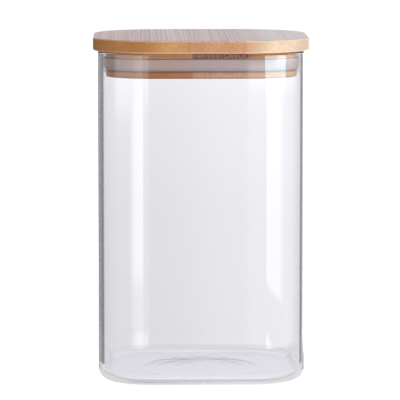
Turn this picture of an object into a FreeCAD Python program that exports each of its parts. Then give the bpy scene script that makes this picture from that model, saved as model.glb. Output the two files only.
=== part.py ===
import FreeCAD, Part
import Sketcher
import math
import os

# A square glass canister with rounded corners. A bamboo lid closes it: a flat cover board over a
# plug board, both edge-glued from staves, with a silicone seal seated in a groove round the plug.
# Millimetres, +Z up. The origin is the middle of the base, on the surface that the jar stands on.

# Driving dimensions: name, value, meaning
SIZES = (
    ("jar_width", 100.0, "outside width of the jar, the same both ways"),
    ("jar_height", 160.1, "height of the jar's rim"),
    ("jar_corner", 26.0, "outside radius of the jar's upright corners"),
    ("wall", 2.2, "thickness of the glass wall"),
    ("floor_thickness", 2.4, "thickness of the glass floor at its edge"),
    ("heel_radius", 5.5, "outside radius between wall and base"),
    ("floor_radius", 3.3, "inside radius between wall and floor"),
    ("rim_radius", 0.9, "rounding of the rim's polished outer edge"),
    ("rim_bevel", 0.8, "bevel inside the rim that leads the seal in"),
    ("standing_ring", 13.0, "width, at its narrowest, of the flat that the jar stands on"),
    ("pushup_depth", 0.35, "depth of the domed push-up under the base"),
    ("rim_gap", 0.2, "gap between rim and cover"),
    ("cover_overhang", 2.5, "how far the cover stands out past the jar"),
    ("cover_corner", 34.0, "radius of the cover's corners"),
    ("cover_thickness", 6.1, "thickness of the cover board"),
    ("cover_edge", 0.7, "easing of the cover's top and bottom edges"),
    ("plug_clearance", 1.6, "gap between plug and jar wall"),
    ("plug_edge", 0.7, "easing of the plug's lower edge"),
    ("neck_height", 2.9, "height of the plug above the groove"),
    ("flange_height", 3.3, "height of the plug below the groove"),
    ("groove_depth", 2.6, "depth of the seal groove"),
    ("seal_height", 6.0, "height of the seal"),
    ("seal_headroom", 0.1, "gap between the seal and the top of its groove"),
    ("seal_seat", 0.1, "gap between the seal and the bottom of its groove"),
    ("seal_clearance", 0.3, "gap between the seal's lip and the jar wall"),
    ("seal_top_edge", 0.4, "easing of the lip's upper edge"),
    ("seal_lower_edge", 2.5, "rounding of the lip's lower edge"),
    ("stave_width", 27.8, "width of a whole bamboo stave"),
    ("cover_joint", -6.9, "place across the cover of its second glue joint"),
    ("plug_joint", -4.9, "place across the plug of its second glue joint"),
    ("saw_allowance", 2.0, "how far an outer stave's blank stands past the finished board"),
)

doc = FreeCAD.newDocument("canister")
sheet = doc.addObject("Spreadsheet::Sheet", "sizes")
for row, (name, value, meaning) in enumerate(SIZES, start=1):
    sheet.set(f"A{row}", name)
    sheet.set(f"B{row}", str(value))
    sheet.setAlias(f"B{row}", name)
    sheet.set(f"C{row}", meaning)
doc.recompute()

# Sizes and heights that several pieces share, as expressions on the sheet
JAR_HALF = "sizes.jar_width / 2"
INNER_HALF = f"({JAR_HALF} - sizes.wall)"
INNER_CORNER = "(sizes.jar_corner - sizes.wall)"
RIM_RADIUS = "min(sizes.rim_radius; sizes.wall * 0.45)"
RIM_BEVEL = "min(sizes.rim_bevel; sizes.wall * 0.45)"
PUSHUP_REACH = f"({JAR_HALF} - sizes.heel_radius - sizes.standing_ring)"
PUSHUP_RADIUS = f"(({PUSHUP_REACH}^2 + sizes.pushup_depth^2) / (2 * sizes.pushup_depth))"
COVER_HALF = f"({JAR_HALF} + sizes.cover_overhang)"
COVER_BOTTOM = "(sizes.jar_height + sizes.rim_gap)"
PLUG_HALF = f"({INNER_HALF} - sizes.plug_clearance)"
PLUG_CORNER = f"({INNER_CORNER} - sizes.plug_clearance)"
GROOVE_HEIGHT = "(sizes.seal_height + sizes.seal_headroom)"
PLUG_HEIGHT = f"(sizes.neck_height + {GROOVE_HEIGHT} + sizes.flange_height)"
PLUG_BOTTOM = f"({COVER_BOTTOM} - {PLUG_HEIGHT})"
GROOVE_BOTTOM = f"({PLUG_BOTTOM} + sizes.flange_height)"

TOLERANCE = 1e-4
# The glue joints of a board, counted in stave widths from the one whose place is named
JOINTS = (-1, 0, 1)


def size(expression):
    """The value that an expression on the sheet has now."""
    return float(sheet.evalExpression(expression))


def new_body(label):
    body = doc.addObject("PartDesign::Body", label)
    body.Label = label
    return body


def level_sketch(body, name, height):
    """An empty sketch of the body, level, at a height given as an expression."""
    base_plane = next(f for f in body.Origin.OriginFeatures if f.Role == "XY_Plane")
    sketch = body.newObject("Sketcher::SketchObject", name)
    sketch.AttachmentSupport = [(base_plane, "")]
    sketch.MapMode = "FlatFace"
    sketch.setExpression("AttachmentOffset.Base.z", height)
    return sketch


def rounded_square(sketch, half, corner):
    """Draws a square outline with round corners about the middle, bound to its two sizes."""
    reach, radius = size(half), size(corner)
    inset = reach - radius
    first = sketch.GeometryCount
    for quarter in range(4):
        turn = FreeCAD.Rotation(FreeCAD.Vector(0, 0, 1), 90 * quarter)
        start = turn.multVec(FreeCAD.Vector(-inset, -reach, 0))
        end = turn.multVec(FreeCAD.Vector(inset, -reach, 0))
        centre = turn.multVec(FreeCAD.Vector(inset, -inset, 0))
        circle = Part.Circle(centre, FreeCAD.Vector(0, 0, 1), radius)
        begin_angle = math.radians(90 * quarter - 90)
        sketch.addGeometry(Part.LineSegment(start, end), False)
        sketch.addGeometry(Part.ArcOfCircle(circle, begin_angle, begin_angle + math.pi / 2), False)
    side = [first + 2 * k for k in range(4)]
    arc = [first + 2 * k + 1 for k in range(4)]
    for k in range(4):
        sketch.addConstraint(Sketcher.Constraint("Tangent", side[k], 2, arc[k], 1))
        sketch.addConstraint(Sketcher.Constraint("Tangent", arc[k], 2, side[(k + 1) % 4], 1))
        level = "Horizontal" if k % 2 == 0 else "Vertical"
        sketch.addConstraint(Sketcher.Constraint(level, side[k]))
    for k in range(1, 4):
        sketch.addConstraint(Sketcher.Constraint("Equal", arc[0], arc[k]))
    sketch.addConstraint(Sketcher.Constraint("Symmetric", side[0], 1, side[2], 1, -1, 1))
    bound = (
        ("across", Sketcher.Constraint("DistanceX", -1, 1, side[1], 1, reach), half),
        ("deep", Sketcher.Constraint("DistanceY", -1, 1, side[2], 1, reach), half),
        ("corner", Sketcher.Constraint("Radius", arc[0], radius), corner),
    )
    for word, constraint, expression in bound:
        name = f"{word}_{first}"
        sketch.renameConstraint(sketch.addConstraint(constraint), name)
        sketch.setExpression(f"Constraints.{name}", expression)


def square_sketch(body, name, height, *outlines):
    """A level sketch with one or more rounded squares, each given by half width and corner."""
    sketch = level_sketch(body, name, height)
    for half, corner in outlines:
        rounded_square(sketch, half, corner)
    doc.recompute()
    return sketch


def pad(body, name, sketch, length):
    feature = body.newObject("PartDesign::Pad", name)
    feature.Profile = sketch
    feature.setExpression("Length", length)
    doc.recompute()
    return feature


def check_cut(feature, before):
    """Raises unless the feature took glass or wood away."""
    doc.recompute()
    if feature.Shape.Volume > before - TOLERANCE:
        raise RuntimeError(f"{feature.Name} cuts nothing")
    return feature


def pocket(body, name, sketch, length, upwards):
    before = body.Shape.Volume
    feature = body.newObject("PartDesign::Pocket", name)
    feature.Profile = sketch
    feature.Reversed = upwards
    feature.setExpression("Length", length)
    return check_cut(feature, before)


def edges_at(feature, height, half):
    """Names of the level edges at a height on the outline that reaches this far from the middle."""
    names = []
    for number, edge in enumerate(feature.Shape.Edges, start=1):
        box = edge.BoundBox
        reach = max(abs(v) for v in (box.XMin, box.XMax, box.YMin, box.YMax))
        offsets = (box.ZMin - height, box.ZMax - height, reach - half)
        if all(abs(offset) < TOLERANCE for offset in offsets):
            names.append(f"Edge{number}")
    return names


def round_edges(body, name, base, edges, radius):
    feature = body.newObject("PartDesign::Fillet", name)
    feature.Base = (base, edges)
    feature.setExpression("Radius", radius)
    doc.recompute()
    return feature


def bevel_edges(body, name, base, edges, width):
    feature = body.newObject("PartDesign::Chamfer", name)
    feature.Base = (base, edges)
    feature.setExpression("Size", width)
    doc.recompute()
    return feature


def make_jar():
    """Walls and floor of one piece of glass, with a round heel, a polished rim and a push-up.

    The ball that cuts the push-up lies on its side, so that its pole is away from the base.
    """
    body = new_body("glass_jar")
    outline = square_sketch(body, "jar_outline", "0", (JAR_HALF, "sizes.jar_corner"))
    blank = pad(body, "jar_blank", outline, "sizes.jar_height")
    bottom_edges = edges_at(blank, 0, size(JAR_HALF))
    heel = round_edges(body, "jar_heel", blank, bottom_edges, "sizes.heel_radius")

    mouth = square_sketch(body, "jar_mouth", "sizes.jar_height", (INNER_HALF, INNER_CORNER))
    inside = pocket(body, "jar_inside", mouth, "sizes.jar_height - sizes.floor_thickness", False)
    floor_edges = edges_at(inside, size("sizes.floor_thickness"), size(INNER_HALF))
    floor = round_edges(body, "jar_floor", inside, floor_edges, "sizes.floor_radius")

    rim_height = size("sizes.jar_height")
    outer_edges = edges_at(floor, rim_height, size(JAR_HALF))
    rim = round_edges(body, "jar_rim", floor, outer_edges, RIM_RADIUS)
    inner_edges = edges_at(rim, rim_height, size(INNER_HALF))
    bevel_edges(body, "jar_lead_in", rim, inner_edges, RIM_BEVEL)

    before = body.Shape.Volume
    pushup = body.newObject("PartDesign::SubtractiveSphere", "jar_pushup")
    pushup.Placement = FreeCAD.Placement(FreeCAD.Vector(), FreeCAD.Rotation(FreeCAD.Vector(1, 0, 0), 90))
    pushup.setExpression("Radius", PUSHUP_RADIUS)
    pushup.setExpression("Placement.Base.z", f"sizes.pushup_depth - {PUSHUP_RADIUS}")
    check_cut(pushup, before)
    return body


def make_cover_board():
    """The flat board that covers the rim, with eased edges."""
    body = new_body("cover_board")
    outline = square_sketch(body, "cover_outline", COVER_BOTTOM, (COVER_HALF, "sizes.cover_corner"))
    blank = pad(body, "cover_blank", outline, "sizes.cover_thickness")
    bottom = size(COVER_BOTTOM)
    edges = []
    for height in (bottom, bottom + size("sizes.cover_thickness")):
        edges += edges_at(blank, height, size(COVER_HALF))
    bevel_edges(body, "cover_edges", blank, edges, "sizes.cover_edge")
    return body


def make_plug_board():
    """The board that drops into the jar's mouth, with the groove for the seal milled round it."""
    body = new_body("plug_board")
    outline = square_sketch(body, "plug_outline", PLUG_BOTTOM, (PLUG_HALF, PLUG_CORNER))
    blank = pad(body, "plug_blank", outline, PLUG_HEIGHT)
    lower_edges = edges_at(blank, size(PLUG_BOTTOM), size(PLUG_HALF))
    bevel_edges(body, "plug_lower_edge", blank, lower_edges, "sizes.plug_edge")

    outside = (f"{PLUG_HALF} + sizes.saw_allowance", f"{PLUG_CORNER} + sizes.saw_allowance")
    floor = (f"{PLUG_HALF} - sizes.groove_depth", f"{PLUG_CORNER} - sizes.groove_depth")
    ring = square_sketch(body, "groove_ring", GROOVE_BOTTOM, outside, floor)
    pocket(body, "seal_groove", ring, GROOVE_HEIGHT, True)
    return body


def make_staves(board, label, joint, half, bottom, height):
    """Parts a board along its glue joints, which run from front to back through its thickness."""
    allowance = "sizes.saw_allowance"
    ends = [f"-{half} - {allowance}"]
    ends += [f"sizes.{joint} + sizes.stave_width * ({number})" for number in JOINTS]
    ends += [f"{half} + {allowance}"]
    staves = []
    for number, (start, end) in enumerate(zip(ends, ends[1:]), start=1):
        name = f"{label}_{number}"
        blank = doc.addObject("Part::Box", f"{name}_blank")
        blank.setExpression("Length", f"({end}) - ({start})")
        blank.setExpression("Width", f"2 * ({half} + {allowance})")
        blank.setExpression("Height", f"{height} + 2 * {allowance}")
        blank.setExpression("Placement.Base.x", start)
        blank.setExpression("Placement.Base.y", f"-{half} - {allowance}")
        blank.setExpression("Placement.Base.z", f"{bottom} - {allowance}")
        stave = doc.addObject("Part::Common", name)
        stave.Label = name
        stave.Base = board
        stave.Tool = blank
        staves.append(stave)
    doc.recompute()
    return staves


def make_seal():
    """The ring that fills the groove and reaches out to the glass, rounder below than above."""
    body = new_body("seal_ring")
    lip = (f"{INNER_HALF} - sizes.seal_clearance", f"{INNER_CORNER} - sizes.seal_clearance")
    back_inset = "(sizes.groove_depth - sizes.seal_seat)"
    back = (f"{PLUG_HALF} - {back_inset}", f"{PLUG_CORNER} - {back_inset}")
    section = square_sketch(body, "seal_section", GROOVE_BOTTOM, lip, back)
    blank = pad(body, "seal_blank", section, "sizes.seal_height")
    lip_half = size(lip[0])
    bottom = size(GROOVE_BOTTOM)
    top_edges = edges_at(blank, bottom + size("sizes.seal_height"), lip_half)
    upper = bevel_edges(body, "seal_upper_edge", blank, top_edges, "sizes.seal_top_edge")
    lower_edges = edges_at(upper, bottom, lip_half)
    round_edges(body, "seal_lower_edge", upper, lower_edges, "sizes.seal_lower_edge")
    return body


cover_staves = make_staves(
    make_cover_board(), "cover_stave", "cover_joint", COVER_HALF, COVER_BOTTOM, "sizes.cover_thickness"
)
plug_staves = make_staves(
    make_plug_board(), "plug_stave", "plug_joint", PLUG_HALF, PLUG_BOTTOM, PLUG_HEIGHT
)
subparts = [make_jar(), *cover_staves, *plug_staves, make_seal()]

doc.recompute()
for item in doc.Objects:
    if "Invalid" in item.State or "Error" in item.State:
        raise RuntimeError(f"{item.Name} failed: {item.State}")
for subpart in subparts:
    if subpart.Shape.isNull() or not subpart.Shape.isValid():
        raise RuntimeError(f"{subpart.Label} has no valid shape")

os.makedirs("parts", exist_ok=True)
for subpart in subparts:
    subpart.Shape.exportStep(f"parts/{subpart.Label}.step")
    print(subpart.Label, len(subpart.Shape.Solids), round(subpart.Shape.Volume, 1))
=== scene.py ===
"""A square glass canister with a bamboo lid: surfaces, finishes and studio around its CAD frame.

Metres, +Z up, and the front looks along -Y. The staves of both boards run from front to back.
The finishes work in millimetres and, round the canister, in degrees from the front to the right.
"""

import collections
import math

import bmesh
import bpy
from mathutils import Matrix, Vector


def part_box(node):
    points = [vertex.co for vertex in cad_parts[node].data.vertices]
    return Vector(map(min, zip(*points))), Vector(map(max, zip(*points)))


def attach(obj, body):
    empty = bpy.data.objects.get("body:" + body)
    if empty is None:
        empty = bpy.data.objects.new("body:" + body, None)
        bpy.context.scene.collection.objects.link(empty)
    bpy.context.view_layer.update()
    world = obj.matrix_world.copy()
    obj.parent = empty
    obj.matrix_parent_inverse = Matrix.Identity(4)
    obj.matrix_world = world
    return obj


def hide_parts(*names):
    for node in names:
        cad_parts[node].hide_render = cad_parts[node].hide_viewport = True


bl_info = {
    "name": "Glass Canister",
    "version": (1, 0, 0),
    "blender": (4, 5, 0),
    "location": "View3D > Sidebar > Canister",
    "description": "Models a square glass canister with a bamboo lid and its studio",
    "category": "Add Mesh",
}

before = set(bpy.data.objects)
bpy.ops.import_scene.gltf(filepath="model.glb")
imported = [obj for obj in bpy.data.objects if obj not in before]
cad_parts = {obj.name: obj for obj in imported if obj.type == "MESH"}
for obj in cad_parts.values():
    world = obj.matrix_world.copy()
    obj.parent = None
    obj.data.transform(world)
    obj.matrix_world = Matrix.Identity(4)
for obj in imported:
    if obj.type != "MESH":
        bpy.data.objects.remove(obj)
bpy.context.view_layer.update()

MM = 0.001
NEAR = 0.02 * MM
# The least part of a level face's normal that points straight up or down
LEVEL = 0.9
SMOOTH_ANGLE = math.radians(40)

QUAD = 4
CORNER_STEPS = 28
SIDE_CUTS = 11
HEEL_STEPS = 10
RIM_STEPS = 5
BOARD_STEPS = 4
LIP_STEPS = 8
LIP_TOP_STEPS = 5
# The rings of the push-up, from the outside inwards, as shares of its reach
DOME_RINGS = (1.0, 0.88, 0.72, 0.54, 0.36, 0.18)

JAR_LOW, JAR_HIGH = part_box("glass_jar")
SEAL_LOW, SEAL_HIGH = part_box("seal_ring")
COVER_STAVES = ("cover_stave_1", "cover_stave_2", "cover_stave_3", "cover_stave_4")
PLUG_STAVES = ("plug_stave_1", "plug_stave_2", "plug_stave_3", "plug_stave_4")


def linear(red, green, blue):
    """A colour given as it looks on a screen, 0 to 255, as light."""
    shares = (value / 255 for value in (red, green, blue))
    return tuple(s / 12.92 if s < 0.04045 else ((s + 0.055) / 1.055) ** 2.4 for s in shares)


def length(name, description, default):
    """A size that a user may change."""
    return bpy.props.FloatProperty(
        name=name, description=description, default=default, min=0.0, precision=5, unit="LENGTH"
    )


def share(name, description, default):
    """A plain number that a user may change."""
    return bpy.props.FloatProperty(
        name=name, description=description, default=default, min=0.0, precision=3
    )


def turn(name, description, default):
    """An angle that a user may change."""
    return bpy.props.FloatProperty(
        name=name, description=description, default=default, precision=4, subtype="ANGLE"
    )


def colour(name, description, default):
    """A colour that a user may change."""
    return bpy.props.FloatVectorProperty(
        name=name, description=description, default=default, min=0.0, max=1.0, size=3, subtype="COLOR"
    )


class JarSettings(bpy.types.PropertyGroup):
    """Sizes and colours of the glass jar."""

    corner: length("Corner", "Outside radius of the upright corners", 26 * MM)
    wall: length("Wall", "Thickness of the glass wall", 2.2 * MM)
    floor: length("Floor", "Thickness of the glass floor", 2.4 * MM)
    heel: length("Heel", "Outside radius between wall and base", 5.5 * MM)
    floor_radius: length("Floor radius", "Inside radius between wall and floor", 3.3 * MM)
    rim_outside: length("Rim outside", "Rounding of the rim's outer edge", 0.9 * MM)
    rim_inside: length("Rim inside", "Rounding of the rim's inner edge", 0.8 * MM)
    standing_ring: length("Standing ring", "Width of the flat that the jar stands on", 13 * MM)
    pushup: length("Push-up", "Depth of the dome under the base", 0.35 * MM)
    clear: colour("Clear glass", "Tint of the glass seen square on", (0.965, 0.965, 0.99))
    # The edge colour is painted shade where the glass is seen edge on
    edge: colour("Glass edge", "Tint of the glass seen edge on", (0.03, 0.032, 0.04))


class LidSettings(bpy.types.PropertyGroup):
    """Sizes of the lid's boards and of its seal."""

    cover_corner: length("Cover corner", "Radius of the cover's corners", 34 * MM)
    cover_edge: length("Cover edge", "Easing of the cover's edges", 0.7 * MM)
    plug_corner: length("Plug corner", "Radius of the plug's corners", 22.2 * MM)
    plug_edge: length("Plug edge", "Easing of the plug's lower edge", 0.7 * MM)
    flange: length("Flange", "Height of the plug below the groove", 3.3 * MM)
    groove: length("Groove", "Height of the seal groove", 6.1 * MM)
    groove_depth: length("Groove depth", "Depth of the seal groove", 2.6 * MM)
    seal_corner: length("Seal corner", "Radius of the seal's corners", 23.5 * MM)
    seal_width: length("Seal width", "Width of the seal from back to lip", 3.8 * MM)
    seal_top: length("Seal top", "Easing of the lip's upper edge", 0.4 * MM)
    seal_bottom: length("Seal bottom", "Rounding of the lip's lower edge", 2.5 * MM)


class LidColours(bpy.types.PropertyGroup):
    """Colours of the bamboo and of the silicone."""

    amber: colour("Amber", "The darkest, warmest staves", linear(196, 139, 91))
    umber: colour("Umber", "The lower part of the darkest stave", linear(178, 118, 66))
    dense: colour("Dense", "The part of a stave with dense fibre bundles", linear(134, 82, 56))
    golden: colour("Golden", "The yellow staves", linear(202, 154, 107))
    blush: colour("Blush", "The pinkish staves", linear(198, 151, 117))
    # Partly painted light: the palest tone stands for the lid's right end lit from the right
    straw_and_painted_light: colour("Straw", "The palest staves", linear(220, 199, 176))
    bundle: colour("Fibre bundle", "The dark fibre bundles of the bamboo", linear(84, 44, 32))
    warm_silicone: colour("Warm silicone", "The milky seal over warm wood", linear(196, 171, 163))
    cool_silicone: colour("Cool silicone", "The milky seal over pale wood", linear(190, 174, 172))


class StageSettings(bpy.types.PropertyGroup):
    """The camera, the lamps and the white surroundings."""

    distance: length("Distance", "From the camera to the middle of the canister", 1.582)
    pitch: turn("Pitch", "How far the camera looks down", 0.1084)
    yaw: turn("Yaw", "How far the camera stands to the left", 0.02)
    lens: share("Lens", "Focal length in millimetres on a 36 mm frame", 288.3)
    key: share("Key lamp", "Power of the lamp on the right", 1.7)
    fill: share("Fill lamp", "Power of the lamp on the left", 0.8)
    back: share("Back lamp", "Power of the lamp far behind", 14.0)
    top: share("Top lamp", "Power of the lamp high behind", 2.1)
    tent_radius: length("Tent radius", "From the middle to the cloth that gloss mirrors", 0.172)
    tent_height: length("Tent height", "Height of the cloth that gloss mirrors", 0.165)
    tent_left: share("Tent left", "Brightness of the cloth on the left", 0.05)
    tent_front: share("Tent front", "Brightness of the cloth at the right of the front", 1.9)
    tent_right: share("Tent right", "Brightness of the cloth on the right", 2.8)
    left_panel: share("Left panel", "Brightness of the lit panel on the left", 4.6)
    right_panel: share("Right panel", "Brightness of the lit panel on the right", 8.0)
    ambient: share("Ambient", "Light from all round", 0.3)
    room: share("Room", "Brightness of the room that faces the front", 0.3)
    left_side: share("Left side", "Brightness of the dark side of the room that gloss mirrors", 0.15)
    floor_gloss: share("Floor gloss", "Brightness of the right of the floor that gloss mirrors", 1.0)
    floor_grey: share("Floor grey", "How much light the floor gives back", 0.12)
    floor_glow: share("Floor glow", "White that the floor shows without light", 0.93)
    bounce: share("Bounce", "Light that the floor throws up at the canister", 0.3)
    through: share("Through glass", "Brightness of the white surroundings seen through glass", 0.812)


class Value:
    """A socket of a finish, on which arithmetic adds Math nodes."""

    def __init__(self, finish, socket):
        self.finish = finish
        self.socket = socket

    def math(self, operation, *others):
        """A Math node on this value and others."""
        return self.finish.add("ShaderNodeMath", {"operation": operation}, (self, *others))

    def __add__(self, other):
        return self.math("ADD", other)

    def __sub__(self, other):
        return self.math("SUBTRACT", other)

    def __rsub__(self, other):
        return self.finish.add("ShaderNodeMath", {"operation": "SUBTRACT"}, (other, self))

    def __mul__(self, other):
        return self.math("MULTIPLY", other)

    def __truediv__(self, other):
        return self.math("DIVIDE", other)

    def __abs__(self):
        return self.math("ABSOLUTE")

    __radd__ = __add__
    __rmul__ = __mul__


OUTPUTS = {bpy.types.Material: "Material", bpy.types.World: "World"}


class Finish:
    """The node tree of one material or of the world."""

    def __init__(self, owner):
        owner.use_nodes = True
        self.owner = owner
        self.tree = owner.node_tree
        self.tree.nodes.clear()

    def add(self, kind, settings=None, sockets=(), output=0):
        """Adds a node with its settings, then its sockets' values or links, and gives one output."""
        node = self.tree.nodes.new(kind)
        for name, value in (settings or {}).items():
            setattr(node, name, value)
        pairs = sockets.items() if isinstance(sockets, dict) else enumerate(sockets)
        for key, value in pairs:
            if isinstance(value, Value):
                self.tree.links.new(value.socket, node.inputs[key])
            else:
                node.inputs[key].default_value = value
        return Value(self, node.outputs[output]) if node.outputs else None

    def sibling(self, value, output):
        """Another output of the node that a value comes from."""
        return Value(self, value.socket.node.outputs[output])

    def place(self, scale=(1, 1, 1), shift=(0, 0, 0)):
        """The place on the piece in millimetres, stretched and moved."""
        spot = self.add("ShaderNodeTexCoord", output="Object")
        stretch = tuple(part / MM for part in scale)
        sockets = {"Vector": spot, "Scale": stretch, "Location": shift}
        return self.add("ShaderNodeMapping", None, sockets)

    def reach(self):
        """How far the place lies from the piece's origin, in millimetres."""
        return self.add("ShaderNodeVectorMath", {"operation": "LENGTH"}, (self.place(),), "Value")

    def noise(self, scale, shift=(0, 0, 0), detail=2.0):
        """Soft noise with this many waves a millimetre each way, about 0.5."""
        sockets = {"Vector": self.place(scale, shift), "Scale": 1.0, "Detail": detail}
        return self.add("ShaderNodeTexNoise", None, sockets, "Fac")

    def ease(self, value, low, high, start=0.0, end=1.0):
        """A soft step from start to end as the value goes from low to high."""
        settings = {"interpolation_type": "SMOOTHSTEP"}
        sockets = {"Value": value, "From Min": low, "From Max": high, "To Min": start, "To Max": end}
        return self.add("ShaderNodeMapRange", settings, sockets)

    def fall(self, value, low, high):
        """A soft step from 1 down to 0."""
        return self.ease(value, low, high, 1.0, 0.0)

    def within(self, value, rise, fall):
        """A soft step up and, further on, one down again."""
        return self.ease(value, *rise) * self.fall(value, *fall)

    def mix(self, factor, first, second, kind="MIX"):
        """One colour turned into another as the factor goes from 0 to 1."""
        settings = {"data_type": "RGBA", "blend_type": kind}
        return self.add("ShaderNodeMix", settings, {0: factor, 6: opaque(first), 7: opaque(second)}, 2)

    def bump(self, height, strength, distance):
        """The normal of a surface with this relief."""
        sockets = {"Height": height, "Strength": strength, "Distance": distance}
        return self.add("ShaderNodeBump", None, sockets)

    def axes(self, vector):
        """The three parts of a vector."""
        first = self.add("ShaderNodeSeparateXYZ", None, (vector,))
        return first, self.sibling(first, 1), self.sibling(first, 2)

    def end(self, surface):
        """Shows the surface, and gives the material or world."""
        kind = next(word for base, word in OUTPUTS.items() if isinstance(self.owner, base))
        self.add(f"ShaderNodeOutput{kind}", None, {"Surface": surface})
        return self.owner


def opaque(tint):
    """A colour with its alpha, or a value as it is."""
    return tint if isinstance(tint, Value) else (*tint, 1.0)


def ray_kinds(finish):
    """Masks of the rays straight from the camera, of those through glass, and of all that see a surface.

    The rest light it: they have scattered off something dull.
    """
    straight = finish.add("ShaderNodeLightPath", output="Is Camera Ray")
    through = finish.sibling(straight, "Is Transmission Ray")
    mirrored = finish.sibling(straight, "Is Glossy Ray")
    unscattered = finish.sibling(straight, "Diffuse Depth").math("LESS_THAN", 0.5)
    return straight, through, straight.math("MAXIMUM", mirrored.math("MAXIMUM", through)) * unscattered


# A step is where it starts and ends, then the values there if they aren't 0 and 1.
# Glass: steps across the jar, and of how far a surface is turned from square on (0) to edge on (1)
GLASS_IOR = 1.47
# Painted light: what passes straight through the pale heel and the floor's rounding
HEEL_CLEAR = (0.87, 0.87, 0.88)
SHADOW_CLEAR = (0.98, 0.98, 0.985)
# Painted shade: the glass's tint greys where it is seen edge on, more on the left than the right
LEFT_TO_RIGHT = (-20, 20)
EDGE_RISE = (0.52, 0.60)
EDGE_FALL = (0.60, 0.95)
EDGE_DEPTH = (0.93, 0.35)
# What is added to those at the right: to both ends of the rise, to the fall's start, end and depth
RISE_RIGHT = 0.05
FALL_RIGHT = (0.06, -0.16, -0.35)
# Painted shade that greys the left edge further inwards
LEFT_EDGE_PAINTED_SHADE = (0.2, 0.5, 0.0, 0.09)
# Painted shade: a grey band along the floor's inner rounding, for rays entering it, stronger on the
# right
PAINTED_CREASE_SHADE = (-40, 10, 0.08, 0.22)
# Steps of the painted light on the heel and on the floor's rounding
HEEL_TURN = (0.15, 0.55)
HEEL_PAINTED_LIGHT = 0.9
BASE_TURN = 0.15
FLOOR_TURN = (0.24, 0.28)
GLASS_RIPPLE = (0.35, 0.35, 0.006)
RIPPLE_START = (6, 14)
RING_WAVES = 0.8
RING_HEIGHTS = (1.0, 2.0, 1.5, 0.0)
RING_REACH = (32, 42)
GLASS_BUMP = (0.006, 1 * MM)


def clear_glass(settings):
    """Clear glass that greys at its upright edges, with faint upright ripples and rings in the base.

    The greying is painted shade, darker on the left: the left edge is dark out to the outline, and
    the right edge has a thin dark line inside it. The heel is painted paler than glass alone would
    make it, which is painted light.
    """
    finish = Finish(bpy.data.materials.new("clear_glass"))
    facing = finish.add("ShaderNodeLayerWeight", None, {"Blend": 0.5}, "Facing")
    across, _, up = finish.axes(finish.place())
    wall, heel, base, floor_leaving, floor_entering = jar_masks(finish)
    right = finish.ease(across, *LEFT_TO_RIGHT)
    rise_low, rise_high = (part + right * RISE_RIGHT for part in EDGE_RISE)
    fall_low, fall_high, last = (
        part + right * more for part, more in zip((*EDGE_FALL, EDGE_DEPTH[1]), FALL_RIGHT)
    )
    # Painted shade: a dark band inside each upright edge, which fades before the outline on the right
    line = finish.ease(facing, rise_low, rise_high)
    line = line * finish.ease(facing, fall_low, fall_high, EDGE_DEPTH[0], last)
    # Painted shade on the left edge only
    left_painted_shade = finish.ease(facing, *LEFT_EDGE_PAINTED_SHADE) * (1 - right)
    # Painted shade in the crease between the glass floor and the wall
    grey = finish.ease(across, *PAINTED_CREASE_SHADE) * floor_entering
    tint = finish.mix(left_painted_shade.math("MAXIMUM", line) * wall + grey, settings.clear, settings.edge)

    reach = finish.reach()
    ripple = finish.noise(GLASS_RIPPLE, detail=1.0) * finish.ease(up, *RIPPLE_START)
    rings = (reach * RING_WAVES).math("SINE") * finish.ease(up, *RING_HEIGHTS)
    rings = rings * finish.fall(reach, *RING_REACH)
    sockets = {
        "Base Color": tint,
        "Roughness": 0.0,
        "IOR": GLASS_IOR,
        "Transmission Weight": 1.0,
        "Normal": finish.bump(ripple + rings, *GLASS_BUMP),
    }
    glass = finish.add("ShaderNodeBsdfPrincipled", None, sockets)
    # Painted light: the heel and the floor's rounding let part of the backdrop straight through
    pale = finish.add("ShaderNodeBsdfTransparent", None, {"Color": opaque(HEEL_CLEAR)})
    heel_low, heel_high = (part + base * BASE_TURN for part in HEEL_TURN)
    painted_light_share = finish.ease(facing, heel_low, heel_high, 0.0, HEEL_PAINTED_LIGHT) * heel
    painted_light_share = painted_light_share + finish.ease(facing, *FLOOR_TURN) * floor_leaving
    glass = finish.add("ShaderNodeMixShader", None, (painted_light_share, glass, pale))
    shadow_ray = finish.add("ShaderNodeLightPath", output="Is Shadow Ray")
    shadow = finish.add("ShaderNodeBsdfTransparent", None, {"Color": opaque(SHADOW_CLEAR)})
    return finish.end(finish.add("ShaderNodeMixShader", None, (shadow_ray, glass, shadow)))


# Jar: steps of height, of the slope of the glass, and of how far its normal looks away from the middle
WALL_OUTWARD = (0.0, 2.0)
WALL_FOOT = (8.0, 9.4)
WALL_SLOPE = (0.02, 0.12)
FLOOR_SLOPE = ((0.05, 0.15), (0.9, 0.98))
FLOOR_TOP = (6, 8)
HEEL_SLOPE = (-0.02, -0.12)
BASE_SLOPE = (-0.99, -0.998)


def jar_masks(finish):
    """Masks of the jar's outer wall, of its heel and base together, of its base, and of the rounding of
    its floor for rays that leave the glass and for rays that enter it."""
    normal = finish.add("ShaderNodeNewGeometry", output="Normal")
    leaving = finish.sibling(normal, "Backfacing")
    _, _, slope = finish.axes(normal)
    _, _, up = finish.axes(finish.place())
    level = finish.add("ShaderNodeVectorMath", {"operation": "MULTIPLY"}, (finish.place(), (1, 1, 0)))
    outward = finish.add("ShaderNodeVectorMath", {"operation": "DOT_PRODUCT"}, (normal, level), "Value")
    wall = finish.ease(outward, *WALL_OUTWARD) * finish.ease(up, *WALL_FOOT)
    wall = wall * finish.fall(abs(slope), *WALL_SLOPE)
    upward = slope * (1 - leaving * 2)
    heel = finish.ease(upward, *HEEL_SLOPE)
    base = finish.ease(upward, *BASE_SLOPE)
    rounding = finish.within(upward, *FLOOR_SLOPE) * finish.fall(up, *FLOOR_TOP)
    return wall, heel, base, rounding * leaving, rounding * (1 - leaving)


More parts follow.
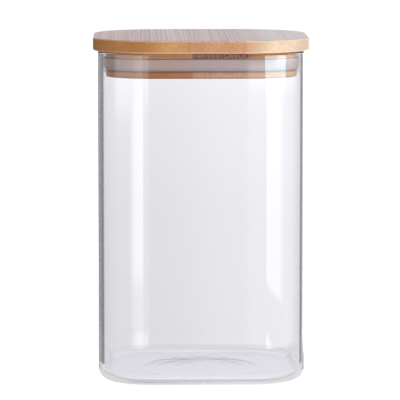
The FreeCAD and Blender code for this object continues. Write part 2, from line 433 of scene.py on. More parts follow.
# Bamboo: noise in waves a millimetre across, along and up, and the weights of its parts
SEED_SHIFT = (7.31, 3.7, 5.13)
PLUG_SEED = 5
DRIFT_NOISE = (0.03, 0.012, 0.03)
FADE_NOISE = (0.2, 0.03, 0.2)
STREAK_NOISE = (1.5, 0.004, 1.0)
FIBRE_NOISE = (1.6, 0.01, 1.6)
BAND_NOISE = (0.12, 0.003, 0.05)
CLOUD_NOISE = (0.05, 0.03, 0.08)
DRIFT_ACROSS = 1.6
DRIFT_UP = 0.4
BUNDLE_SPACING = 1.1
DENSE_SPACING = 1.7
BUNDLE_RADIUS = (0.16, 0.44)
BUNDLE_FADE = (0.4, 0.95)
BUNDLE_SCATTER = 0.7
CELL_FADE = 0.5
NOISE_MIDDLE = 0.5
GRAIN_DEPTH = (0.3, 1.0)
DEPTH_PARTS = {"streak": 0.5, "fibre": 0.2, "band": 0.3, "cloud": 0.2, "cell_tone": 0.08}
RELIEF_PARTS = {"streak": 0.5, "fibre": 0.4, "spot": 0.7}
BAMBOO_BUMP = (0.1, 0.2 * MM)
# How red, green and blue go from a stave's tone to its pale, its deep and its edges' painted highlight
PALE = 1.16
DEEP = (0.80, 0.72, 0.62)
PAINTED_EDGE_LIGHT = (1.42, 1.65, 2.0)
PAINTED_EDGE_LIGHT_LIMITS = (0.92, 0.70, 0.46)
EDGE_PAINTED_LIGHT = 0.8
UNDERSIDE_PAINTED_LIGHT = 0.15
UPPER_STEP = 0.6
UPPER_TONE = 0.7
BAMBOO_IOR = 1.22
ROUGHNESS = 0.165
SIDE_ROUGHNESS = 0.22
STREAK_ROUGHNESS = 0.34
FIBRE_ROUGHNESS = 0.06
BUNDLE_ROUGHNESS = 0.04
# A V-shaped notch in the grain of the cover's front edge: its tip across and up, and its lines
NOTCH_TIP = (38.4, 164.3)
NOTCH_LINE = (0.15, 0.5)
NOTCH_REACH = (1.4, 1.8)
FRONT_TO_BACK = (-2, 2)
# The plug flange's edges with painted shade, the seal's shadow along the upper one: steps of the
# height above its upper edge and above its lower one
FLANGE_UPPER = (-1.1, -0.2, 0.0, 0.55)
FLANGE_UPPER_END = (0, 1)
FLANGE_LOWER = (0.2, 1.2, 0.35, 0.0)

Grain = collections.namedtuple("Grain", "spot spot_fade cell_tone streak fibre band cloud")


def bamboo_grain(finish, seed, spacing):
    """The fibre bundles, as dots with a fade and a tone of their own, and noise along the fibres."""
    shift = tuple(seed * part for part in SEED_SHIFT)
    drift = finish.noise(DRIFT_NOISE, shift) * DRIFT_ACROSS
    across, _, up = finish.axes(finish.place())
    cell = ((across + drift + seed) / spacing, (up + drift * DRIFT_UP) / spacing)
    sockets = {
        "Vector": finish.add("ShaderNodeCombineXYZ", None, cell),
        "Scale": 1.0,
        "Randomness": BUNDLE_SCATTER,
    }
    dots = finish.add("ShaderNodeTexVoronoi", {"voronoi_dimensions": "2D"}, sockets, "Distance")
    cell_tone, cell_fade, _ = finish.axes(finish.sibling(dots, "Color"))
    return Grain(
        spot=finish.fall(dots, *BUNDLE_RADIUS),
        spot_fade=finish.noise(FADE_NOISE, shift, detail=1.0) + cell_fade * CELL_FADE,
        cell_tone=cell_tone,
        streak=finish.noise(STREAK_NOISE, shift, detail=3.0),
        fibre=finish.noise(FIBRE_NOISE, shift, detail=1.0),
        band=finish.noise(BAND_NOISE, shift, detail=1.0),
        cloud=finish.noise(CLOUD_NOISE, shift),
    )


def weighted(grain, parts):
    """The sum of parts of a grain, each with its weight."""
    return sum(getattr(grain, name) * weight for name, weight in parts.items())


def bamboo(
    name,
    seed,
    bundle,
    tone,
    bundle_share,
    figure=0.5,
    spacing=BUNDLE_SPACING,
    shade=None,
    upper=None,
    flange=None,
    notched=False,
):
    """Sanded bamboo whose fibres run from front to back.

    Across the fibres the dark bundles show as dots, and along them as fine streaks. The figure is
    how strongly the streaks stand out, and the spacing is that of the bundles. A shade is a stretch
    across the stave over which it goes from another tone to its own, how strongly, and that tone. An
    upper part has its own height, tone and share of bundles. A flange is the heights of its two edges
    with painted shade; a stave without one has pale edges, a painted highlight, most on the lower ones.
    """
    finish = Finish(bpy.data.materials.new(name))
    grain = bamboo_grain(finish, seed, spacing)
    across, along, up = finish.axes(finish.place())
    pale = tuple(min(1.0, part * PALE) for part in tone)
    deep = tuple(part * weight for part, weight in zip(tone, DEEP))
    wood = finish.mix(finish.ease(weighted(grain, DEPTH_PARTS), *GRAIN_DEPTH), pale, deep)
    spot_share = finish.ease(grain.spot_fade, *BUNDLE_FADE, 0.0, bundle_share)
    if shade:
        start, stop, strength, shade_tone = shade
        wood = finish.mix(finish.ease(across, start, stop, strength, 0.0), wood, shade_tone)
    if upper:
        height, upper_tone, upper_share = upper
        above = finish.ease(up, height - UPPER_STEP, height + UPPER_STEP)
        wood = finish.mix(above * UPPER_TONE, wood, upper_tone)
        spot_share = spot_share + above * (upper_share - spot_share)
    wood = finish.mix(grain.spot * spot_share, wood, bundle)
    if notched:
        aside = abs(across - NOTCH_TIP[0])
        notch = finish.fall(abs(up - (aside + NOTCH_TIP[1])), *NOTCH_LINE)
        notch = notch * finish.fall(aside, *NOTCH_REACH) * finish.fall(along, *FRONT_TO_BACK)
        wood = finish.mix(notch, wood, deep)
    edge, underside, upright = eased_edge(finish)
    if flange:
        low, high = flange
        # Painted shade: the seal's shadow along the flange's upper edge, and shade along its lower edge
        seal_painted_shadow = finish.ease(up - high, *FLANGE_UPPER) * finish.fall(up - high, *FLANGE_UPPER_END)
        wood = finish.mix(seal_painted_shadow + finish.ease(up - low, *FLANGE_LOWER), wood, bundle)
    else:
        # Painted highlight: the eased edges are paler, the lower ones most
        edge_light = tuple(min(most, part * more) for part, more, most in zip(tone, PAINTED_EDGE_LIGHT, PAINTED_EDGE_LIGHT_LIMITS))
        wood = finish.mix(edge * EDGE_PAINTED_LIGHT + underside * UNDERSIDE_PAINTED_LIGHT, wood, edge_light)

    rough = ROUGHNESS + upright * SIDE_ROUGHNESS
    rough = rough + (grain.streak - NOISE_MIDDLE) * (STREAK_ROUGHNESS * figure)
    rough = rough + (grain.fibre - NOISE_MIDDLE) * FIBRE_ROUGHNESS + grain.spot * BUNDLE_ROUGHNESS
    bump = finish.bump(weighted(grain, RELIEF_PARTS), *BAMBOO_BUMP)
    sockets = {"Base Color": wood, "Roughness": rough, "IOR": BAMBOO_IOR, "Normal": bump}
    return finish.end(finish.add("ShaderNodeBsdfPrincipled", None, sockets))


# Boards: steps of how far a surface slopes, from upright (0) to level (1)
ROUND_SLOPE = ((0.08, 0.3), (0.8, 0.98))
UNDER_SLOPE = (0.0, -0.1)
SIDE_SLOPE = (0.3, 0.8)


def eased_edge(finish):
    """Masks of a board's rounded level edges, of the lower ones of these, and of its upright sides."""
    _, _, slope = finish.axes(finish.add("ShaderNodeNewGeometry", output="Normal"))
    edge = finish.within(abs(slope), *ROUND_SLOPE)
    return edge, edge * finish.ease(slope, *UNDER_SLOPE), finish.fall(abs(slope), *SIDE_SLOPE)


# Silicone: noise in waves a millimetre, and how it darkens and roughens the surface
MILK_NOISE = (0.06, 0.06, 0.3)
SKIN_NOISE = (3.0, 3.0, 3.0)
MILK_SHARE = 0.3
MILK_DARK = 0.7
JOINT_BLEND = 0.6
SILICONE_IOR = 1.41
SILICONE_ROUGHNESS = 0.42
SKIN_ROUGHNESS = 0.12
SILICONE_CLEAR = 0.1
SILICONE_BUMP = (0.05, 0.1 * MM)


def milky_silicone(warm, cool, joint):
    """Moulded silicone that hides the wood behind it but takes its tint, warmer left of a joint."""
    finish = Finish(bpy.data.materials.new("milky_silicone"))
    across, _, _ = finish.axes(finish.place())
    skin = finish.noise(SKIN_NOISE)
    tone = finish.mix(finish.ease(across, joint - JOINT_BLEND, joint + JOINT_BLEND), warm, cool)
    dark = tuple(part * MILK_DARK for part in warm)
    tint = finish.mix(finish.noise(MILK_NOISE) * MILK_SHARE, tone, dark)
    sockets = {
        "Base Color": tint,
        "Roughness": SILICONE_ROUGHNESS + skin * SKIN_ROUGHNESS,
        "IOR": SILICONE_IOR,
        "Transmission Weight": SILICONE_CLEAR,
        "Normal": finish.bump(skin, *SILICONE_BUMP),
    }
    return finish.end(finish.add("ShaderNodeBsdfPrincipled", None, sockets))


def outline_distance(point, half, corner):
    """How far a point lies outside a rounded square about the middle; negative inside it."""
    across = abs(point.x) - (half - corner)
    deep = abs(point.y) - (half - corner)
    beyond = math.hypot(max(across, 0.0), max(deep, 0.0))
    return beyond + min(max(across, deep), 0.0) - corner


def on_outline(height, half, corner):
    """A test for the level edges of one outline."""

    def test(edge):
        return all(
            abs(vertex.co.z - height) < NEAR and abs(outline_distance(vertex.co, half, corner)) < NEAR
            for vertex in edge.verts
        )

    return test


def level_face(height, way):
    """A test for the faces at a height that look up, for 1, or down, for -1."""

    def test(face):
        return face.normal.z * way > LEVEL and all(abs(v.co.z - height) < NEAR for v in face.verts)

    return test


def pick(piece, kind, test):
    """Selects only those faces or edges of the open piece that pass a test."""
    bpy.ops.mesh.select_mode(type=kind)
    bpy.ops.mesh.select_all(action="DESELECT")
    mesh = bmesh.from_edit_mesh(piece.data)
    mesh.normal_update()
    found = [item for item in (mesh.faces if kind == "FACE" else mesh.edges) if test(item)]
    if not found:
        raise RuntimeError(f"{piece.name} has no such {kind.lower()}")
    for item in found:
        item.select_set(True)
    bmesh.update_edit_mesh(piece.data)


def bevel(radius, steps):
    """Rounds the selected edges."""
    bpy.ops.mesh.bevel(offset=radius, segments=steps, profile=0.5, affect="EDGES", clamp_overlap=False)


def extrude(rise):
    """Draws the selected faces up or down."""
    bpy.ops.mesh.extrude_region_move(TRANSFORM_OT_translate={"value": (0, 0, rise)})


def rounded_block(name, half, corner, low, high):
    """Opens a new block with round upright corners, with its straight sides parted into strips."""
    bpy.ops.object.select_all(action="DESELECT")
    middle = (0, 0, (low + high) / 2)
    bpy.ops.mesh.primitive_cube_add(size=1, location=middle, scale=(2 * half, 2 * half, high - low))
    block = bpy.context.active_object
    block.name = block.data.name = name
    bpy.ops.object.transform_apply(location=True, rotation=True, scale=True)
    bpy.ops.object.mode_set(mode="EDIT")
    pick(block, "FACE", lambda face: abs(face.normal.z) > LEVEL)
    bpy.ops.mesh.delete(type="ONLY_FACE")
    pick(block, "EDGE", lambda edge: abs(edge.verts[0].co.z - edge.verts[1].co.z) > NEAR)
    bevel(corner, CORNER_STEPS)
    straight = 2 * (half - corner)
    pick(block, "EDGE", lambda edge: level_edge(edge) and abs(edge.calc_length() - straight) < NEAR)
    bpy.ops.mesh.subdivide(number_cuts=SIDE_CUTS)
    for height in (low, high):
        pick(block, "EDGE", lambda edge: level_edge(edge) and abs(edge.verts[0].co.z - height) < NEAR)
        bpy.ops.mesh.edge_face_add()
    bpy.ops.mesh.select_all(action="SELECT")
    bpy.ops.mesh.normals_make_consistent(inside=False)
    return block


def level_edge(edge):
    """Whether an edge is level."""
    return abs(edge.verts[0].co.z - edge.verts[1].co.z) < NEAR


def smooth(piece):
    """Closes the piece and gives its rounded edges normals that follow the larger faces."""
    bpy.ops.object.mode_set(mode="OBJECT")
    bpy.ops.object.shade_smooth_by_angle(angle=SMOOTH_ANGLE)
    modifier = piece.modifiers.new("even_normals", "WEIGHTED_NORMAL")
    modifier.keep_sharp = True
    bpy.ops.object.modifier_apply(modifier=modifier.name)


def dress(piece, finish, node, body):
    """Gives a finished piece its material and body in place of a CAD node."""
    piece.data.materials.clear()
    piece.data.materials.append(finish)
    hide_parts(node)
    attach(piece, body)


def saw_staves(board, prefix, nodes):
    """Parts a closed board into copies sawn at the glue joints."""
    staves = []
    for number, node in enumerate(nodes, start=1):
        low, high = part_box(node)
        bpy.ops.object.select_all(action="DESELECT")
        board.select_set(True)
        bpy.context.view_layer.objects.active = board
        bpy.ops.object.duplicate(linked=False)
        stave = bpy.context.active_object
        stave.name = stave.data.name = f"{prefix}_{number}"
        bpy.ops.object.mode_set(mode="EDIT")
        cuts = []
        if number > 1:
            cuts.append({"plane_co": (low.x, 0, 0), "clear_inner": True})
        if number < len(nodes):
            cuts.append({"plane_co": (high.x, 0, 0), "clear_outer": True})
        for cut in cuts:
            bpy.ops.mesh.select_all(action="SELECT")
            bpy.ops.mesh.bisect(plane_no=(1, 0, 0), use_fill=True, **cut)
        smooth(stave)
        staves.append(stave)
    bpy.ops.object.select_all(action="DESELECT")
    board.select_set(True)
    bpy.ops.object.delete()
    return staves


class CANISTER_OT_jar(bpy.types.Operator):
    """Models the glass jar"""

    bl_idname = "canister.jar"
    bl_label = "Glass jar"

    def execute(self, context):
        sizes = context.scene.canister_jar
        half, high, corner = JAR_HIGH.x, JAR_HIGH.z, sizes.corner
        jar = rounded_block("jar_glass", half, corner, JAR_LOW.z, high)

        pick(jar, "FACE", level_face(high, 1))
        bpy.ops.mesh.inset(thickness=sizes.wall)
        extrude(sizes.floor - high)
        inner_half, inner_corner = half - sizes.wall, corner - sizes.wall
        roundings = (
            (JAR_LOW.z, half, corner, sizes.heel, HEEL_STEPS),
            (sizes.floor, inner_half, inner_corner, sizes.floor_radius, HEEL_STEPS),
            (high, half, corner, sizes.rim_outside, RIM_STEPS),
            (high, inner_half, inner_corner, sizes.rim_inside, RIM_STEPS),
        )
        for height, reach, bend, radius, steps in roundings:
            pick(jar, "EDGE", on_outline(height, reach, bend))
            bevel(radius, steps)

        self.push_up(jar, half - sizes.heel, sizes)
        smooth(jar)
        dress(jar, clear_glass(sizes), "glass_jar", "jar")
        return {"FINISHED"}

    def push_up(self, jar, flat_half, sizes):
        """Raises a shallow dome inside the ring that the jar stands on."""
        reach = flat_half - sizes.standing_ring
        ball = (reach**2 + sizes.pushup**2) / (2 * sizes.pushup)
        pick(jar, "FACE", level_face(JAR_LOW.z, -1))
        bpy.ops.mesh.inset(thickness=sizes.standing_ring)
        bpy.ops.transform.tosphere(value=1.0)
        mesh = bmesh.from_edit_mesh(jar.data)
        ring = [vertex.co.xy.length for vertex in mesh.verts if vertex.select]
        radius, height = sum(ring) / len(ring), 0.0
        for part in DOME_RINGS:
            if part < 1.0:
                bpy.ops.mesh.extrude_region()
            scale = reach * part / radius
            bpy.ops.transform.resize(value=(scale, scale, 1), center_override=(0, 0, height))
            radius = reach * part
            rise = math.sqrt(ball**2 - radius**2) - (ball - sizes.pushup) - height
            bpy.ops.transform.translate(value=(0, 0, rise))
            height += rise


class CANISTER_OT_cover(bpy.types.Operator):
    """Models the four staves of the cover board"""

    bl_idname = "canister.cover"
    bl_label = "Cover staves"

    def execute(self, context):
        sizes, colours = context.scene.canister_lid, context.scene.canister_colours
        low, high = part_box(COVER_STAVES[0])
        half = -low.x
        board = rounded_block("cover_board", half, sizes.cover_corner, low.z, high.z)
        for height in (low.z, high.z):
            pick(board, "EDGE", on_outline(height, half, sizes.cover_corner))
            bevel(sizes.cover_edge, BOARD_STEPS)
        bpy.ops.object.mode_set(mode="OBJECT")
        looks = (
            {"tone": colours.amber, "bundle_share": 0.15, "figure": 0.25},
            {
                "tone": colours.golden,
                "bundle_share": 0.2,
                "figure": 0.8,
                "shade": (-30, -12, 0.75, colours.umber),
            },
            {
                "tone": colours.blush,
                "bundle_share": 0.12,
                "figure": 0.2,
                "shade": (-7, -5, 0.6, colours.umber),
            },
            # Painted light in part: this stave goes from blush to a paler straw towards the lit right
            # end
            {
                "tone": colours.straw_and_painted_light,
                "bundle_share": 0.1,
                "figure": 0.2,
                "shade": (20, 36, 0.85, colours.blush),
                "notched": True,
            },
        )
        staves = saw_staves(board, "cover_bamboo", COVER_STAVES)
        for seed, (stave, node, look) in enumerate(zip(staves, COVER_STAVES, looks)):
            finish = bamboo(f"bamboo_{stave.name}", seed, colours.bundle, **look)
            dress(stave, finish, node, "lid")
        return {"FINISHED"}


class CANISTER_OT_plug(bpy.types.Operator):
    """Models the four staves of the plug board"""

    bl_idname = "canister.plug"
    bl_label = "Plug staves"

    def execute(self, context):
        sizes, colours = context.scene.canister_lid, context.scene.canister_colours
        low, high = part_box(PLUG_STAVES[0])
        half, corner = -low.x, sizes.plug_corner
        groove_low = low.z + sizes.flange
        groove_high = groove_low + sizes.groove
        board = rounded_block("plug_board", half, corner, low.z, groove_low)
        pick(board, "FACE", level_face(groove_low, 1))
        extrude(sizes.groove)
        extrude(high.z - groove_high)

        middle = (groove_low + groove_high) / 2
        pick(board, "FACE", lambda face: abs(face.calc_center_median().z - middle) < NEAR)
        bpy.ops.mesh.extrude_region_shrink_fatten(
            TRANSFORM_OT_shrink_fatten={"value": -sizes.groove_depth, "use_even_offset": True}
        )
        pick(board, "EDGE", on_outline(low.z, half, corner))
        bevel(sizes.plug_edge, BOARD_STEPS)
        bpy.ops.object.mode_set(mode="OBJECT")
        neck = groove_high / MM
        flange = (low.z / MM, groove_low / MM)
        looks = (
            {"tone": colours.amber, "bundle_share": 0.3, "upper": (neck, colours.blush, 0.3)},
            {"tone": colours.umber, "bundle_share": 0.35, "upper": (neck, colours.golden, 0.35)},
            {
                "tone": colours.blush,
                "bundle_share": 0.3,
                "spacing": DENSE_SPACING,
                "shade": (-5, -3, 0.5, colours.umber),
                "upper": (neck, colours.dense, 0.95),
            },
            {
                "tone": colours.golden,
                "bundle_share": 0.3,
                "shade": (22, 42, 0.8, colours.blush),
                "upper": (neck, colours.umber, 0.5),
            },
        )
        staves = saw_staves(board, "plug_bamboo", PLUG_STAVES)
        for seed, (stave, node, look) in enumerate(zip(staves, PLUG_STAVES, looks), start=PLUG_SEED):
            finish = bamboo(f"bamboo_{stave.name}", seed, colours.bundle, flange=flange, **look)
            dress(stave, finish, node, "lid")
        return {"FINISHED"}


class CANISTER_OT_seal(bpy.types.Operator):
    """Models the silicone seal"""

    bl_idname = "canister.seal"
    bl_label = "Seal"

    def execute(self, context):
        sizes, colours = context.scene.canister_lid, context.scene.canister_colours
        half, corner = SEAL_HIGH.x, sizes.seal_corner
        low, high = SEAL_LOW.z, SEAL_HIGH.z
        seal = rounded_block("seal_lip", half, corner, low, high)
        for height, way in ((low, -1), (high, 1)):
            pick(seal, "FACE", level_face(height, way))
            bpy.ops.mesh.inset(thickness=sizes.seal_width)
        pick(seal, "FACE", lambda face: len(face.verts) > QUAD)
        bpy.ops.mesh.bridge_edge_loops()
        roundings = ((low, sizes.seal_bottom, LIP_STEPS), (high, sizes.seal_top, LIP_TOP_STEPS))
        for height, radius, steps in roundings:
            pick(seal, "EDGE", on_outline(height, half, corner))
            bevel(radius, steps)
        smooth(seal)
        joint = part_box(PLUG_STAVES[1])[1].x / MM
        finish = milky_silicone(colours.warm_silicone, colours.cool_silicone, joint)
        dress(seal, finish, "seal_ring", "lid")
        return {"FINISHED"}


# Stage: standing lamps by name, with bearing in degrees, distance, and width and height
STANDING_LAMPS = {
    "key": (48, 0.45, (0.40, 0.40)),
    "fill": (-25, 0.50, (0.40, 0.30)),
    "back": (180, 2.5, (1.5, 1.0)),
}
TOP_LAMP_SIZE = (0.50, 0.50)
TOP_LAMP_PLACE = (0, 0.40, 0.70)
TOP_LAMP_TILT = math.radians(-36.8)
BOUNCES = 32
SENSOR_WIDTH = 36
CAMERA_AIM = Vector((-0.2 * MM, 0, 84.8 * MM))
WHITE = (1, 1, 1)
WORLD_TINT = (0.85, 0.82, 0.865)
WORLD_MIRRORED = (0.70, 0.73, 0.84)
WORLD_SHOWN = 1.2
WORLD_BACK = (-0.1, 0.7)
WORLD_LEFT = (-0.6, -0.2)
# Floor: steps of the distance from the canister and across it, in millimetres
FLOOR_SIZE = 14
FLOOR_DROP = 0.1 * MM
GLOW_REACH = (100, 500)
# Painted light and shade on the floor seen through glass: a pool of light under the base, a darker ring
# round it
PAINTED_RING_REACH = (100, 1300, 0.88, 1.0)
PAINTED_POOL_REACH = (40, 75, 0.2, 0.0)
# Painted shade on the floor seen in gloss: darker on the left, and in a band on the right
FLOOR_LEFT_SHADE = (-50, 50, 0.1)
FLOOR_SHADE = (60, 90, 0.0, 0.8)
FLOOR_SHADE_END = (118, 134)
BACK_START = (126, 138)
# Tent: steps of the bearing in degrees and of the height in millimetres
TENT_SIDES = 240
LID_BAND = (132, 142)
BRIM_BAND = (146, 150)
FRONT_TOP = (138, 148)
FRONT_TOP_LIGHT = 0.8
FRONT_EDGE = (-8, 8)
RIGHT_TOP = (128, 140)
RIGHT_TOP_LIGHT = 4.2
RIGHT_START = (8, 10)
RIGHT_END = (68, 104, 1.0, 0.05)
BACK_LIGHT = 2.0
BRIM_LIGHT = (44, 52, -3.0, 3.0)
COOL_TINT = (0.8, 1.0, 1.06)
COOL_SPAN = ((26, 30), (66, 72))
# Panels: the same, with the brightness of each part as a share of its panel's
LEFT_SPAN = ((-48, -34), (-24, -21.5))
LEFT_LOW = (28, 42, 0.45, 1.0)
LEFT_TOP = (125, 142, 1.0, 0.8)
SPILL_SPAN = ((-48, -20), (-15, -13))
SPILL_LIGHT = 0.25
UPPER_SPAN = ((-78, -66), (-15, -13))
UPPER_LIGHT = 0.6
UPPER_RISE = (105, 138)
FOOT_SPAN = ((-42, -30), (-18, -12))
FOOT_HEIGHTS = ((0.5, 3), (6, 11))
FOOT_LIGHT = 0.5
RIGHT_EDGE = (31, 33)
RIGHT_FADE = (50, 68)
RIGHT_CUT = (44, 52)
RIGHT_CUT_SLOPE = 0.42
RIGHT_FOOT = (40, 47)
RIGHT_FOOT_SLOPE = 1.2
# How far the right panel's edge and fade shift at the lid, its brightness, and what the lid adds to it
LID_EDGE_SHIFT = 2.5
LID_FADE_SHIFT = 14
RIGHT_LIGHT = 0.45
LID_LIGHT = 0.75


class CANISTER_OT_stage(bpy.types.Operator):
    """Sets the floor, the white surroundings, the lamps and the camera"""

    bl_idname = "canister.stage"
    bl_label = "Studio"

    def execute(self, context):
        scene, settings = context.scene, context.scene.canister_stage
        scene.view_settings.view_transform = "Standard"
        scene.cycles.max_bounces = BOUNCES
        scene.cycles.transmission_bounces = BOUNCES
        scene.cycles.glossy_bounces = BOUNCES
        self.floor(settings)
        self.surroundings(scene, settings)
        self.tent(settings)
        for name, (bearing, distance, size) in STANDING_LAMPS.items():
            power = getattr(settings, name)
            self.standing_lamp(f"{name}_lamp", power, math.radians(bearing), distance, size)
        self.lamp("top_lamp", settings.top, TOP_LAMP_SIZE, TOP_LAMP_PLACE, (TOP_LAMP_TILT, 0, 0))
        self.camera(scene, settings)
        return {"FINISHED"}

    def floor(self, settings):
        """Lays a pale floor that shows white to the camera and throws some light up at the canister."""
        bpy.ops.object.select_all(action="DESELECT")
        bpy.ops.mesh.primitive_plane_add(size=FLOOR_SIZE, location=(0, 0, -FLOOR_DROP))
        floor = bpy.context.active_object
        floor.name = "floor"
        bpy.ops.object.transform_apply(location=True, rotation=True, scale=True)
        finish = Finish(bpy.data.materials.new("pale_floor"))
        grey = opaque((settings.floor_grey,) * 3)
        lit = finish.add("ShaderNodeBsdfDiffuse", None, {"Color": grey})
        straight, through, seen = ray_kinds(finish)
        reach = finish.reach()
        across, side, _ = bearings(finish)
        glow = finish.ease(reach, *GLOW_REACH, settings.floor_glow, 1.0)
        # Painted light and shade through glass: brighter under the base, darker round it
        beyond = finish.ease(reach, *PAINTED_RING_REACH) + finish.ease(reach, *PAINTED_POOL_REACH)
        # Painted shade seen in gloss: darker on the left and in a band on the right
        shaded = finish.ease(side, *FLOOR_SHADE) * finish.fall(side, *FLOOR_SHADE_END)
        mirrored = finish.ease(across, *FLOOR_LEFT_SHADE, settings.floor_gloss) * (1 - shaded)
        mirrored = mirrored + finish.ease(side, *BACK_START)
        unlit = through * beyond * settings.through + (1 - through) * mirrored
        shown = straight * glow + (1 - straight) * unlit
        light = seen * shown + (1 - seen) * settings.bounce
        white = finish.add("ShaderNodeEmission", None, {"Color": light})
        floor.data.materials.append(finish.end(finish.add("ShaderNodeAddShader", None, (lit, white))))

    def tent(self, settings):
        """Stands a round cloth about the canister that only gloss sees, lit as in a light tent."""
        bpy.ops.object.select_all(action="DESELECT")
        bpy.ops.mesh.primitive_circle_add(vertices=TENT_SIDES, radius=settings.tent_radius)
        tent = bpy.context.active_object
        tent.name = "tent"
        bpy.ops.object.mode_set(mode="EDIT")
        extrude(settings.tent_height)
        bpy.ops.object.mode_set(mode="OBJECT")
        tent.visible_camera = tent.visible_diffuse = False
        tent.visible_transmission = tent.visible_shadow = False
        finish = Finish(bpy.data.materials.new("tent_cloth"))
        _, side, up = bearings(finish)
        front = finish.ease(up, *FRONT_TOP, settings.tent_front, FRONT_TOP_LIGHT)
        brim = finish.ease(up, *BRIM_BAND) * finish.ease(side, *BRIM_LIGHT)
        right = finish.ease(up, *RIGHT_TOP, settings.tent_right, RIGHT_TOP_LIGHT) + brim
        light = finish.ease(side, *FRONT_EDGE, settings.tent_left, front)
        light = light + finish.ease(side, *RIGHT_START) * (right - front)
        light = light * finish.ease(side, *RIGHT_END) + finish.ease(side, *BACK_START, 0.0, BACK_LIGHT)
        light = light + self.left_panel(finish, side, up) * settings.left_panel
        light = light + self.right_panel(finish, side, up) * settings.right_panel
        cool = finish.ease(up, *LID_BAND) * finish.within(side, *COOL_SPAN)
        tint = finish.mix(cool, WHITE, COOL_TINT)
        light = finish.mix(1.0, tint, light, "MULTIPLY")
        cloth = finish.end(finish.add("ShaderNodeEmission", None, {"Color": light}))
        cloth.cycles.emission_sampling = "NONE"
        tent.data.materials.append(cloth)

    def left_panel(self, finish, side, up):
        """A panel with a hard edge to the front, dimmer low down, with a patch of light at its foot."""
        panel = finish.within(side, *LEFT_SPAN)
        panel = panel * finish.ease(up, *LEFT_LOW) * finish.ease(up, *LEFT_TOP)
        spill = finish.within(side, *SPILL_SPAN) * SPILL_LIGHT
        upper = finish.within(side, *UPPER_SPAN) * finish.ease(up, *UPPER_RISE) * UPPER_LIGHT
        foot = finish.within(side, *FOOT_SPAN) * finish.within(up, *FOOT_HEIGHTS) * FOOT_LIGHT
        return (panel + spill).math("MAXIMUM", upper) + foot

    def right_panel(self, finish, side, up):
        """A panel with a hard edge to the front, cut aslant below, with a patch of light at its foot."""
        lid = finish.ease(up, *LID_BAND)
        start, end = RIGHT_FADE
        panel = finish.ease(side + lid * LID_EDGE_SHIFT, *RIGHT_EDGE)
        panel = panel * finish.fall(side, lid * LID_FADE_SHIFT + start, end)
        panel = panel * finish.ease(up + side * RIGHT_CUT_SLOPE, *RIGHT_CUT)
        foot = finish.ease(side, *RIGHT_EDGE) * finish.fall(side + up * RIGHT_FOOT_SLOPE, *RIGHT_FOOT)
        return panel * (lid * LID_LIGHT + RIGHT_LIGHT) + foot * FOOT_LIGHT

    def surroundings(self, scene, settings):
        """Gives the world the white that the camera sees and the dim room that gloss mirrors."""
        scene.world = bpy.data.worlds.new("studio")
        finish = Finish(scene.world)
        straight, through, seen = ray_kinds(finish)
        side, behind, _ = finish.axes(finish.add("ShaderNodeTexCoord", output="Generated"))
        mirrored = finish.ease(behind, *WORLD_BACK, settings.room, 1.0)
        mirrored = mirrored * finish.ease(side, *WORLD_LEFT, settings.left_side, 1.0)
        unlit = through * settings.through + (1 - through) * mirrored
        shown = straight * WORLD_SHOWN + (1 - straight) * unlit
        strength = seen * shown + (1 - seen) * settings.ambient
        tint = finish.mix(seen * (1 - straight) * (1 - through), WORLD_TINT, WORLD_MIRRORED)
        light = finish.mix(1.0, tint, strength, "MULTIPLY")
        finish.end(finish.add("ShaderNodeBackground", None, {"Color": light}))

    def standing_lamp(self, name, power, azimuth, distance, size):
        """Stands a soft lamp on the floor, turned to the canister."""
        place = (distance * math.sin(azimuth), -distance * math.cos(azimuth), size[1] / 2)
        self.lamp(name, power, size, place, (math.pi / 2, 0, azimuth))

    def lamp(self, name, power, size, place, rotation):
        """Adds a soft lamp that lights the canister and isn't seen itself."""
        light = bpy.data.lights.new(name, "AREA")
        light.shape = "RECTANGLE"
        light.size, light.size_y = size
        light.energy = power
        light.cycles.use_multiple_importance_sampling = False
        lamp = bpy.data.objects.new(name, light)
        lamp.location = place
        lamp.rotation_euler = rotation
        lamp.visible_camera = lamp.visible_transmission = lamp.visible_glossy = False
        bpy.context.scene.collection.objects.link(lamp)

    def camera(self, scene, settings):
        """Aims the camera at the canister from the photograph's viewing angle."""
        lens = bpy.data.cameras.new("camera")
        lens.lens = settings.lens
        lens.sensor_width = SENSOR_WIDTH
        camera = bpy.data.objects.new("camera", lens)
        pitch, yaw = settings.pitch, settings.yaw
        level = math.cos(pitch)
        back = Vector((-level * math.sin(yaw), -level * math.cos(yaw), math.sin(pitch)))
        camera.location = CAMERA_AIM + back * settings.distance
        camera.rotation_euler = back.to_track_quat("Z", "Y").to_euler()
        scene.collection.objects.link(camera)
        scene.camera = camera


def bearings(finish):
    """How far the place lies to the right, its bearing in degrees from the front, and its height."""
    across, deep, up = finish.axes(finish.place())
    return across, across.math("ARCTAN2", 0 - deep).math("DEGREES"), up


class CANISTER_PT_pieces(bpy.types.Panel):
    """The canister's pieces and their settings"""

    bl_idname = "CANISTER_PT_pieces"
    bl_label = "Canister"
    bl_space_type = "VIEW_3D"
    bl_region_type = "UI"
    bl_category = "Canister"

    def draw(self, context):
        """Lists the operators, then the settings."""
        for operator in OPERATORS:
            self.layout.operator(operator.bl_idname)
        for name in GROUPS:
            group = getattr(context.scene, name)
            box = self.layout.box()
            for entry in group.__annotations__:
                box.prop(group, entry)


GROUPS = {
    "canister_jar": JarSettings,
    "canister_lid": LidSettings,
    "canister_colours": LidColours,
    "canister_stage": StageSettings,
}
OPERATORS = (
    CANISTER_OT_jar,
    CANISTER_OT_cover,
    CANISTER_OT_plug,
    CANISTER_OT_seal,
    CANISTER_OT_stage,
)
CLASSES = (*GROUPS.values(), *OPERATORS, CANISTER_PT_pieces)


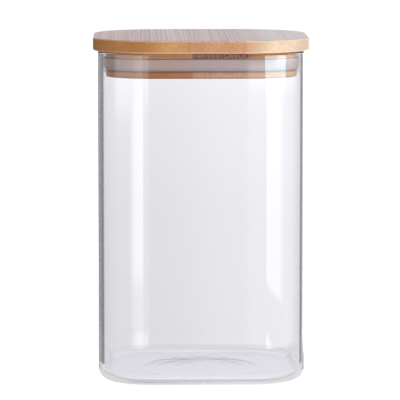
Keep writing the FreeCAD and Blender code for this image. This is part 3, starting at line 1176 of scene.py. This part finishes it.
def register():
    """Adds the classes and the scene's settings."""
    for kind in CLASSES:
        bpy.utils.register_class(kind)
    for name, group in GROUPS.items():
        setattr(bpy.types.Scene, name, bpy.props.PointerProperty(type=group))


def unregister():
    """Takes away the scene's settings and the classes."""
    for name in GROUPS:
        delattr(bpy.types.Scene, name)
    for kind in reversed(CLASSES):
        bpy.utils.unregister_class(kind)


def main():
    """Models the pieces and the stage."""
    register()
    bpy.ops.canister.jar()
    bpy.ops.canister.cover()
    bpy.ops.canister.plug()
    bpy.ops.canister.seal()
    bpy.ops.canister.stage()


if __name__ == "__main__":
    main()
